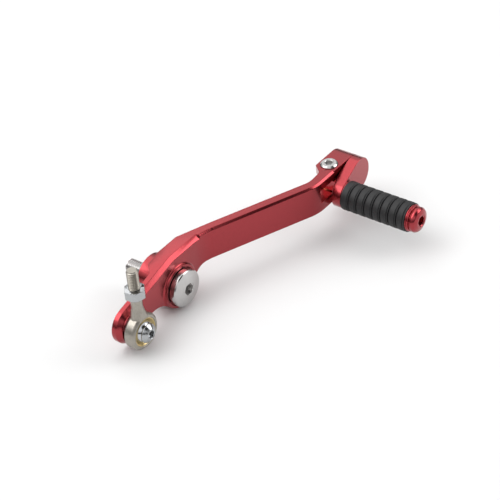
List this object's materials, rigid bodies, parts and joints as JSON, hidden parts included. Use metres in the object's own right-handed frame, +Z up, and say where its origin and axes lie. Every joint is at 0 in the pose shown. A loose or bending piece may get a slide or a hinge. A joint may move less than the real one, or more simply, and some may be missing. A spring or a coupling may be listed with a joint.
{
  "type": "gear shift lever",
  "caption": "Foot gear shift lever: a cranked machined arm on a pivot bolt, with a linkage rod end at one end and a folding rubber-covered toe peg at the other.",
  "frame": {"origin": "on the pivot axis, at the seat where the pivot stack meets the motorcycle", "axes": "+X from the pivot towards the toe peg, +Y along the pivot bolt's thread into the motorcycle, +Z up"},
  "size_m": [0.1738, 0.1155, 0.0507],
  "materials": {
    "anodised_red": "satin red anodised, machined",
    "stainless": "turned and polished",
    "bearing_steel": "ground",
    "polished_ball": "polished",
    "seal_rubber": "matt",
    "dark_steel": "phosphated",
    "zinc_steel": "bright zinc plated",
    "rod_steel": "satin, forged and turned",
    "bronze": "satin",
    "aluminium_core": "turned",
    "peg_rubber": "matt, ribbed"
  },
  "bodies": {
    "pivot": {"pivot_bolt": "stainless", "pivot_sleeve": "stainless", "seat_washer": "stainless", "front_inner_ring": "bearing_steel", "rear_inner_ring": "bearing_steel", "front_bearing_balls": "polished_ball", "rear_bearing_balls": "polished_ball"},
    "lever": {"lever_arm": "anodised_red", "front_outer_ring": "bearing_steel", "rear_outer_ring": "bearing_steel", "front_dust_seal": "seal_rubber", "rear_dust_seal": "seal_rubber", "retaining_ring": "dark_steel", "linkage_screw": "zinc_steel", "toe_screw": "stainless", "toe_nut": "zinc_steel", "thrust_washers": "bronze"},
    "ball": {"linkage_ball": "polished_ball"},
    "rod_end": {"rod_end_housing": "rod_steel", "rod_end_liner": "bronze", "jam_nut": "zinc_steel"},
    "toe": {"toe_carrier": "anodised_red", "toe_bush": "bronze", "return_spring": "dark_steel", "peg_core": "aluminium_core", "peg_sleeve": "peg_rubber", "peg_cap": "anodised_red"}
  },
  "joints": [
    {"name": "lever_swing", "type": "hinge", "parent": "pivot", "child": "lever", "pos_m": [0, 0, 0], "axis": [0, 1, 0], "range_deg": [-15, 15]},
    {"name": "ball_swivel", "type": "hinge", "parent": "lever", "child": "ball", "pos_m": [-0.0383, -0.0256, 0.0002], "axis": [0, 1, 0], "range_deg": [-15, 15]},
    {"name": "rod_tilt", "type": "hinge", "parent": "ball", "child": "rod_end", "pos_m": [-0.0383, -0.0256, 0.0002], "axis": [1, 0, 0], "range_deg": [-5, 5]},
    {"name": "toe_fold", "type": "hinge", "parent": "lever", "child": "toe", "pos_m": [0.105, -0.042, 0], "axis": [0, 0, 1], "range_deg": [-11, 0], "stiffness_Nm_per_rad": 0.25, "springref_deg": 20.05}
  ]
}
